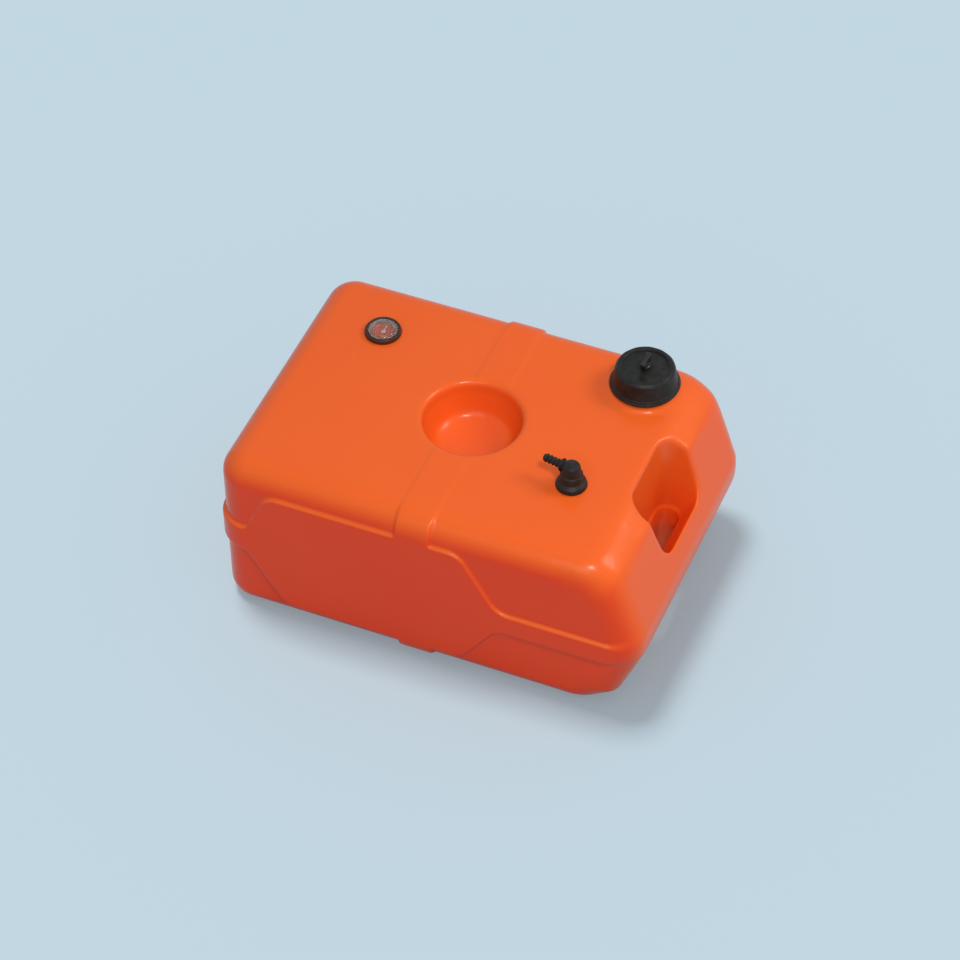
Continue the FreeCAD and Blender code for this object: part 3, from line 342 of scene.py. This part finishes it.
def material(name):
    """A new material with an empty tree and one Principled shader, which is returned with its tree."""
    new = bpy.data.materials.new(name)
    new.use_nodes = True
    new.node_tree.nodes.clear()
    shader = add(new.node_tree, "ShaderNodeBsdfPrincipled")
    add(new.node_tree, "ShaderNodeOutputMaterial", {"Surface": shader.outputs[0]})
    return new, new.node_tree, shader


def feed(tree, socket, shader, name):
    """Link a socket to one of a shader's inputs."""
    tree.links.new(socket, shader.inputs[name])


def noise(tree, place, scale, detail):
    """A cloudy pattern, with this many clouds to the metre and finer ones in them."""
    return add(tree, "ShaderNodeTexNoise", {"Vector": place, "Scale": scale, "Detail": detail}).outputs[0]


def mapped(tree, value, span=(0, 1), result=(0, 1), **settings):
    """A value carried over from a span to its result, and held at the ends."""
    links = dict(enumerate([value, *span, *result]))
    return add(tree, "ShaderNodeMapRange", links, **settings).outputs[0]


def tinted(tree, shader, share, first, second):
    """Colour a shader between two colours, by the share of the second one."""
    tint = add(tree, "ShaderNodeMix", {0: share, 6: linear(first), 7: linear(second)}, data_type="RGBA")
    feed(tree, tint.outputs[2], shader, "Base Color")


def raised(tree, shader, pattern, height, strength):
    """Raise a pattern on a shader's surface."""
    bump = add(tree, "ShaderNodeBump", {"Height": pattern, "Distance": height, "Strength": strength})
    feed(tree, bump.outputs[0], shader, "Normal")


PAINTED_LIGHT_SHOULDER = (162 * MM, 138 * MM)  # from the middle line, where the painted light on the deck starts and where it is full; the side panels outside keep the redder painted shade
PAINTED_LIGHT_SHARE, CLOUD_SHARE = 0.84, 0.16


def blown_polyethylene():
    """Orange-red polyethylene from a sanded mould: waxy, satin, pebbled, with painted light: paler orange on
    upward faces and away from the side panels, redder painted shade on the sides.
    """
    new, tree, shader = material("blown_polyethylene")
    place = add(tree, "ShaderNodeTexCoord")
    spot = add(tree, "ShaderNodeSeparateXYZ", {0: place.outputs["Object"]})
    lay = add(tree, "ShaderNodeSeparateXYZ", {0: place.outputs["Normal"]})
    off_middle = add(tree, "ShaderNodeMath", {0: spot.outputs["Y"]}, operation="ABSOLUTE")
    # Painted light: faces that point up, and all faces away from the side panels, take the paler orange as if
    # lit, and the side panels keep the redder colour as painted shade.
    painted_lit_inboard = mapped(tree, off_middle.outputs[0], PAINTED_LIGHT_SHOULDER, (0, 0.8), interpolation_type="SMOOTHSTEP")
    painted_lit_upward = mapped(tree, lay.outputs["Z"], (0.05, 0.8), interpolation_type="SMOOTHSTEP")
    painted_light = add(tree, "ShaderNodeMath", {0: painted_lit_inboard, 1: painted_lit_upward}, operation="MAXIMUM")
    cloud = noise(tree, place.outputs["Object"], 9, 3)
    clouded = add(tree, "ShaderNodeMath", {0: cloud, 1: CLOUD_SHARE}, operation="MULTIPLY")
    light_and_cloud_share = add(tree, "ShaderNodeMath", {0: painted_light.outputs[0], 1: PAINTED_LIGHT_SHARE, 2: clouded.outputs[0]},
                operation="MULTIPLY_ADD")
    # E3390B is the redder painted-shade colour of the sides and #EA6424 the paler painted-lit colour of the
    # top, with random clouds mixed in.
    tinted(tree, shader, light_and_cloud_share.outputs[0], "#E3390B", "#EA6424")
    wipe = mapped(tree, cloud, (0.25, 0.75), (0.2, 0.265), interpolation_type="SMOOTHSTEP")
    feed(tree, wipe, shader, "Roughness")
    # The sand grain is about half a millimetre on the real tank. It is drawn five times as coarse, to show.
    pebble = noise(tree, place.outputs["Object"], 360, 2)
    raised(tree, shader, pebble, 0.16 * MM, 0.8)
    shader.inputs["IOR"].default_value = 1.54
    shader.inputs["Specular IOR Level"].default_value = 0.2
    return new


def dressed(thing, finish, crease=30):
    """Give an object one material and smooth shading, sharp at edges past the crease angle."""
    thing.data.materials.clear()
    thing.data.materials.append(finish)
    thing.data.shade_smooth()
    thing.data.set_sharp_from_angle(angle=math.radians(crease))


dressed(tank, blown_polyethylene())
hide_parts("tank_shell")
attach(tank, "tank")


# Filler cap. Two black polypropylene mouldings: a cover with a sunken top and a wide turned-out lip, and
# the threaded cup that is pressed into it and screws on the neck.
def soft_outline(corners, steps=5):
    """A closed outline from corners of (across, up, rounding), with an arc in place of each rounded one."""
    points = []
    for number, (across, up, rounding) in enumerate(corners):
        here = Vector((across, up))
        before = (Vector(corners[number - 1][:2]) - here).normalized()
        after = (Vector(corners[(number + 1) % len(corners)][:2]) - here).normalized()
        if not rounding:
            points.append(here)
            continue
        half = before.angle(after) / 2
        middle = here + (before + after).normalized() * rounding / math.sin(half)
        start = here + before * rounding / math.tan(half) - middle
        end = here + after * rounding / math.tan(half) - middle
        points += [middle + start.slerp(end, step / steps) for step in range(steps + 1)]
    return points


def turned(corners, sides=96, shape=None):
    """A closed solid turned about Z from corners in mm. Shape may bend a radius by angle and height."""
    solid = bmesh.new()
    rings = []
    for radius, height in soft_outline(corners):
        if radius < 1e-6:
            rings.append([solid.verts.new((0, 0, height * MM))] * sides)
            continue
        ring = []
        for side in range(sides):
            angle = 2 * math.pi * side / sides
            out = (shape(angle, radius, height) if shape else radius) * MM
            ring.append(solid.verts.new((out * math.cos(angle), out * math.sin(angle), height * MM)))
        rings.append(ring)
    for lower, upper in zip(rings, rings[1:] + rings[:1]):
        for side in range(sides):
            on = (side + 1) % sides
            corners_here = dict.fromkeys((lower[side], lower[on], upper[on], upper[side]))
            if len(corners_here) > 2:
                solid.faces.new(list(corners_here))
    bmesh.ops.recalc_face_normals(solid, faces=solid.faces)
    return solid


def seated(solid, place, turn=Matrix.Identity(4)):
    """Turn a solid and move it to its place."""
    solid.transform(Matrix.Translation(place) @ turn)
    return solid


def moulded_black(name, colour, roughness):
    """Carbon-black thermoplastic with a dull skin: fine grain, and a little dust in it."""
    new, tree, shader = material(name)
    place = add(tree, "ShaderNodeTexCoord").outputs["Object"]
    dust = noise(tree, place, 120, 5)
    tinted(tree, shader, mapped(tree, dust, (0.35, 0.75)), colour, "#272320")
    skin = mapped(tree, dust, (0.3, 0.8), (roughness, roughness + 0.12))
    feed(tree, skin, shader, "Roughness")
    raised(tree, shader, noise(tree, place, 1600, 2), 0.02 * MM, 0.5)
    shader.inputs["Specular IOR Level"].default_value = 0.27
    return new


cap_black = moulded_black("black_polypropylene", "#15110E", 0.38)
SEAT = Vector((0, 0, DECK))
FILLER_SEAT = FILLER.xy.to_3d() + SEAT
CAP_FLATS = 14
FLAT_SHARE = 0.3  # how much of a full flat the worn mould leaves
FLAT_FOOT, FLAT_TOP = 14, 28  # heights in mm between which the flats come in
FLAT_INSIDE, FLAT_OUTSIDE = 27.5, 30.5  # radii in mm between which they come in
FLAT_CROSSING = 1.012  # the round over the radius at the middle of a full flat


def cap_flats(angle, radius, height):
    """Faint flats round the upper rim, for wet fingers, which die out towards the lip."""
    up = min(1, max(0, (height - FLAT_FOOT) / (FLAT_TOP - FLAT_FOOT)))
    out = min(1, max(0, (radius - FLAT_INSIDE) / (FLAT_OUTSIDE - FLAT_INSIDE)))
    within = (angle * CAP_FLATS / (2 * math.pi)) % 1 - 0.5
    flat = 1 / math.cos(2 * math.pi * within / CAP_FLATS)
    return radius * (1 + FLAT_SHARE * up * out * (flat - FLAT_CROSSING))


cap_cover = as_object("cap_moulding", seated(turned([
    (3.4, 25.6, 0), (29.1, 25.6, 0.4), (29.1, 4.8, 0.4), (38.7, 4.8, 1.8), (38.7, 9.4, 2.2), (34.5, 9.6, 1.6),
    (31.9, 27.4, 1.0), (29.4, 30, 0.8), (25.9, 30, 0.5), (25.3, 28.8, 0.4), (3.4, 28.8, 0.3)],
    sides=168, shape=cap_flats), FILLER_SEAT))
dressed(cap_cover, cap_black)
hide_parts("cap_cover")
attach(cap_cover, "cap")


# Vent screw. A black nylon wing screw in the middle of the cap, with grip ribs along its wing. Slackened
# two turns, it lets air in behind the fuel.
def bar(size, place, turn=Matrix.Identity(4)):
    """A block of these sizes in mm, about its own middle, turned and moved to its place."""
    block = bmesh.new()
    bmesh.ops.create_cube(block, size=1, matrix=Matrix.Diagonal([length * MM for length in size] + [1]))
    return seated(block, place, turn)


def added(name, solids):
    """One object of several solids."""
    whole = bmesh.new()
    for solid in solids:
        loose = bpy.data.meshes.new(name)
        solid.to_mesh(loose)
        solid.free()
        whole.from_mesh(loose)
        bpy.data.meshes.remove(loose)
    return as_object(name, whole)


def melted(name, solids, voxel, softness, keep):
    """One moulded object of several solids, with small fillets where they meet."""
    thing = added(name, solids)
    remeshed(thing, voxel * MM)
    relaxed(thing, softness * MM, voxel * MM, everywhere)
    thinned(thing, keep)
    return thing


SEAL_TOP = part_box("vent_seal")[1].z - DECK
WING_FOOT, WING_TOP = SEAL_TOP + 1.1 * MM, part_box("vent_screw")[1].z - DECK
WING_MIDDLE, WING_END = 1.7 * MM, 2.7 * MM  # half the wing's thickness at its waist and at its ends
WING_REACH = 10.4
WING_CORNERS = (  # how far along in mm, half the thickness there, and the height
    (-0.5, WING_MIDDLE, WING_FOOT), (-0.5, WING_MIDDLE, WING_TOP - 0.9 * MM), (7, WING_END, WING_FOOT),
    (WING_REACH, WING_END, WING_TOP - 0.5 * MM), (9.2, WING_END - 0.6 * MM, WING_TOP))
RIB_PLACES = (-8, -5.6, -3.2, 3.2, 5.6, 8)
RIB_WIDTH = 0.9
RIB_FOOT, RIB_TOP = WING_FOOT + 1 * MM, WING_TOP - 1.4 * MM
wing = []
for way in (-1, 1):
    half_wing = bmesh.new()
    for side in (-1, 1):
        for along, half, height in WING_CORNERS:
            half_wing.verts.new((side * half, way * along * MM, height))
    bmesh.ops.convex_hull(half_wing, input=half_wing.verts)
    wing.append(half_wing)
ribs = []
for side in (-1, 1):
    for along in RIB_PLACES:
        out = WING_MIDDLE + (WING_END - WING_MIDDLE) * abs(along) / WING_REACH + 0.15 * MM
        rib_middle = Vector((side * out, along * MM, (RIB_FOOT + RIB_TOP) / 2))
        ribs.append(bar((RIB_WIDTH, RIB_WIDTH, (RIB_TOP - RIB_FOOT) / MM), rib_middle))
collar = turned([
    (0, -12.6, 0), (3.1, -12.6, 0.5), (3.1, 0, 0), (5.2, 0, 0.3), (5.2, 1.5, 0.6), (4.2, 2.2, 0.6),
    (0, 2.6, 0)], sides=64)
seated(collar, Vector((0, 0, SEAL_TOP)))
vent_screw = melted("vent_wing_screw", [seated(solid, FILLER_SEAT) for solid in wing + [collar] + ribs],
                    0.2, 0.12, 0.4)
dressed(vent_screw, moulded_black("black_nylon", "#2B2825", 0.22), crease=60)
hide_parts("vent_screw")
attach(vent_screw, "vent")


# Gauge window. A thin dark clamping ring holds a clear acrylic lens with a raised middle over the dial.
GAUGE_SEAT = GAUGE.xy.to_3d() + SEAT
bezel = as_object("gauge_ring", seated(turned([
    (17.9, 1.3, 0), (19.6, 1.3, 0.3), (19.6, 3.7, 0.8), (18.4, 5, 0.5), (17.1, 5, 0.2), (17.1, 4.2, 0),
    (17.9, 4.2, 0)], sides=96), GAUGE_SEAT))
dressed(bezel, moulded_black("smoked_acetal", "#4A2319", 0.22))
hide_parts("gauge_bezel")
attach(bezel, "tank")


def clear_acrylic():
    """Cast acrylic with polished faces, a few fine wipe marks and a faint smoke tint."""
    new, tree, shader = material("clear_acrylic")
    place = add(tree, "ShaderNodeTexCoord").outputs["Object"]
    wipes = noise(tree, place, 260, 4)
    feed(tree, mapped(tree, wipes, (0.4, 0.8), (0.03, 0.12)), shader, "Roughness")
    shader.inputs["Base Color"].default_value = linear("#F4EDE8")
    shader.inputs["IOR"].default_value = 1.49
    shader.inputs["Transmission Weight"].default_value = 1
    return new


lens = as_object("gauge_window", seated(turned([
    (11.8, 2.6, 0), (17.7, 2.6, 0.2), (17.7, 4.1, 0.2), (16.9, 4.1, 0), (16.9, 4.9, 0.4), (14.6, 5.3, 0.3),
    (13.2, 6.6, 0.5), (8, 7.0, 0), (0, 7.2, 0), (0, 5.9, 0), (8, 5.7, 0), (11.8, 4.9, 0.3)],
    sides=96), GAUGE_SEAT))
dressed(lens, clear_acrylic(), crease=25)
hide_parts("gauge_lens")
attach(lens, "tank")


# Gauge dial. A red-orange moulded disc with plain raised marks, and a pale pointer over it.
def coloured_moulding(name, colour, second, roughness, grains=900):
    """Moulded plastic with a faint flow pattern, and a grain of this many grains to the metre."""
    new, tree, shader = material(name)
    place = add(tree, "ShaderNodeTexCoord").outputs["Object"]
    flow = noise(tree, place, 60, 3)
    tinted(tree, shader, flow, colour, second)
    skin = mapped(tree, flow, result=(roughness - 0.05, roughness + 0.08))
    feed(tree, skin, shader, "Roughness")
    raised(tree, shader, noise(tree, place, grains, 2), 0.02 * MM, 0.4)
    return new


def socket(tree, name, kind, value=None):
    """Add a named input to a Geometry Nodes tree."""
    item = tree.interface.new_socket(name=name, in_out="INPUT", socket_type=kind)
    if value is not None:
        item.default_value = value


def grown(name, tree, **sizes):
    """The plain mesh object that a Geometry Nodes tree makes from these sizes."""
    thing = bpy.data.objects.new(name, bpy.data.meshes.new(name))
    scene.collection.objects.link(thing)
    step = thing.modifiers.new(name, "NODES")
    step.node_group = tree
    for item in tree.interface.items_tree:
        if item.item_type == "SOCKET" and item.in_out == "INPUT" and item.name in sizes:
            step[item.identifier] = sizes[item.name]
    baked(thing)
    return thing


def dial_marks_tree():
    """Short raised bars set round an arc."""
    tree = bpy.data.node_groups.new("dial_marks", "GeometryNodeTree")
    tree.interface.new_socket(name="Mesh", in_out="OUTPUT", socket_type="NodeSocketGeometry")
    for name in ("Radius", "Sweep", "Length", "Width", "Height"):
        socket(tree, name, "NodeSocketFloat")
    socket(tree, "Count", "NodeSocketInt", 9)
    socket(tree, "Finish", "NodeSocketMaterial")
    given = add(tree, "NodeGroupInput").outputs
    arc = add(tree, "GeometryNodeCurveArc",
              {"Resolution": given["Count"], "Radius": given["Radius"], "Sweep Angle": given["Sweep"],
               "Start Angle": 0.0}, mode="RADIUS")
    spots = add(tree, "GeometryNodeCurveToPoints", {"Curve": arc.outputs[0]}, mode="EVALUATED")
    sides = add(tree, "ShaderNodeCombineXYZ", {0: given["Width"], 1: given["Length"], 2: given["Height"]})
    block = add(tree, "GeometryNodeMeshCube", {"Size": sides.outputs[0]})
    marks = add(tree, "GeometryNodeInstanceOnPoints",
                {"Points": spots.outputs["Points"], "Instance": block.outputs["Mesh"],
                 "Rotation": spots.outputs["Rotation"]})
    real = add(tree, "GeometryNodeRealizeInstances", {0: marks.outputs[0]})
    finished = add(tree, "GeometryNodeSetMaterial",
                   {"Geometry": real.outputs[0], "Material": given["Finish"]})
    add(tree, "NodeGroupOutput", {0: finished.outputs[0]})
    return tree


dial_orange = coloured_moulding("orange_acetal", "#E2563A", "#EA6B4C", 0.45)
dial = as_object("gauge_face", seated(turned([
    (1.7, -2, 0), (12.3, -2, 0), (12.3, -1, 0.2), (10.9, -1, 0), (10.7, -1.3, 0), (1.7, -1.3, 0)], sides=72),
    GAUGE_SEAT))
dressed(dial, dial_orange)
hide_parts("gauge_dial")
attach(dial, "tank")
cream = coloured_moulding("cream_acetal", "#E8DFCF", "#DDD2C0", 0.4)
marks = grown("gauge_marks", dial_marks_tree(), Radius=9.3 * MM, Sweep=math.radians(270), Length=2.4 * MM,
              Width=0.6 * MM, Height=0.4 * MM, Count=13, Finish=cream)
marks.data.transform(Matrix.Translation(GAUGE_SEAT + Vector((0, 0, -1.1 * MM))))
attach(marks, "tank")


# Fuel outlet. A black glass-filled nylon fitting: flange and swelling skirt screwed in the deck, and a
# swivel head with its arm and ridged hose barb moulded in one.
OUTLET_SEAT = OUTLET.xy.to_3d() + SEAT
outlet_black = moulded_black("black_glass_nylon", "#1B1613", 0.4)
gland = as_object("outlet_fitting", seated(turned([
    (7.4, -13, 0), (9.4, -13, 0), (9.4, -26, 0.3), (12.5, -26, 0.4), (12.5, 1.4, 0), (16.3, 1.4, 0.5),
    (16.3, 3.5, 0.9), (15.7, 5.6, 1), (15.2, 10, 4), (13.3, 14.1, 2), (11.4, 16.2, 0.15), (7.4, 16.2, 0.4)],
    sides=96), OUTLET_SEAT))
dressed(gland, outlet_black)
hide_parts("outlet_gland")
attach(gland, "tank")

BARB_HEIGHT = 24 * MM
BARB_TURN = Matrix.Rotation(math.radians(170), 4, "Z") @ Matrix.Rotation(math.radians(90), 4, "Y")
BARB_END, BARB_STEM = 33, 3.4  # in mm: how far the barb reaches, and the radius of its stem
RIDGES, RIDGE_RADIUS, RIDGE_LENGTH, RIDGE_PITCH = 4, 4.0, 3.4, 4.4


def plug(radius, foot, top):
    """A plain round solid in mm, to bore with."""
    return turned([(0, foot, 0), (radius, foot, 0), (radius, top, 0), (0, top, 0)], sides=40)


head = turned([
    (0, -17.7, 0), (7.1, -17.7, 0.5), (7.1, 16.5, 0), (11.2, 16.5, 0.15), (11.2, 17, 0.3), (10.6, 18.6, 1),
    (10.6, 28.4, 2.4), (8.6, 31.3, 2.4), (4, 32, 2), (0, 32, 0)], sides=80)
arm = turned([
    (0, 0, 0), (6.3, 0, 0), (6.3, 10.6, 0.3), (6.6, 10.9, 0.2), (6.6, 12.5, 0.7), (0, 12.5, 0)], sides=80)
ridge_points = [(0, 5, 0), (4.4, 5, 0), (4.4, 14, 0.6), (BARB_STEM, 15, 0)]
for ridge in range(RIDGES):
    crest = BARB_END - RIDGE_LENGTH - (RIDGES - 1 - ridge) * RIDGE_PITCH
    ridge_points += [(BARB_STEM, crest, 0), (RIDGE_RADIUS, crest, 0.1), (BARB_STEM, crest + RIDGE_LENGTH, 0)]
ridge_points.append((0, BARB_END, 0))
barb = turned(ridge_points, sides=64)
lie = OUTLET_SEAT + Vector((0, 0, BARB_HEIGHT))
elbow = melted("outlet_swivel_head", [
    seated(head, OUTLET_SEAT), seated(arm, lie, BARB_TURN), seated(barb, lie, BARB_TURN)], 0.3, 0.3, 0.45)
cut(elbow, as_object("barb_bore", seated(plug(2.3, 0, 40), lie, BARB_TURN)))
cut(elbow, as_object("stem_bore", seated(plug(3.4, -30, 26), OUTLET_SEAT)))
dressed(elbow, outlet_black, crease=50)
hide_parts("outlet_elbow")
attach(elbow, "elbow")


# Rubber rings, and what hangs inside the tank: these keep their CAD shapes and get their own finishes.
def metal(name, colour, roughness, stretch):
    """Metal with fine marks, which are drawn out along an axis whose stretch is below 1."""
    new, tree, shader = material(name)
    place = add(tree, "ShaderNodeTexCoord").outputs["Object"]
    along = add(tree, "ShaderNodeMapping", {"Vector": place, "Scale": stretch})
    drawn = noise(tree, along.outputs[0], 900, 3)
    feed(tree, mapped(tree, drawn, result=(roughness, roughness + 0.2)), shader, "Roughness")
    raised(tree, shader, drawn, 0.01 * MM, 0.4)
    shader.inputs["Base Color"].default_value = linear(colour)
    shader.inputs["Metallic"].default_value = 1
    return new


rubber = coloured_moulding("nitrile_rubber", "#141414", "#1D1C1B", 0.7)
steel = metal("drawn_stainless_steel", "#C3C2C0", 0.22, (1, 1, 0.1))
FINISHES = {
    "cap_gasket": rubber, "vent_seal": rubber, "gauge_gasket": rubber, "outlet_gasket": rubber,
    "elbow_seal": rubber, "cap_insert": cap_black, "gauge_pointer": cream,
    "gauge_spindle": steel, "gauge_guides": steel, "float_follower": steel, "elbow_clip": steel,
    # The gauge body's pale pink is partly its own colour and partly painted reflection: seen through the
    # lens, it stands in for the lens's pale pinkish glints.
    "gauge_body": coloured_moulding("pale_acetal_painted_glint", "#CFA898", "#DDBBAA", 0.4),
    "gauge_foot": coloured_moulding("grey_acetal", "#2A2623", "#35302C", 0.45),
    "gauge_float": coloured_moulding("closed_cell_foam", "#26221F", "#3A342F", 0.85, 500),
    "pickup_tube": coloured_moulding("natural_polyethylene", "#D8D5CA", "#E4E1D8", 0.4),
    "strainer": metal("drawn_brass", "#B8934A", 0.3, (1, 1, 1)),
}
for node, finish in FINISHES.items():
    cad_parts[node].data.materials.clear()
    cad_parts[node].data.materials.append(finish)
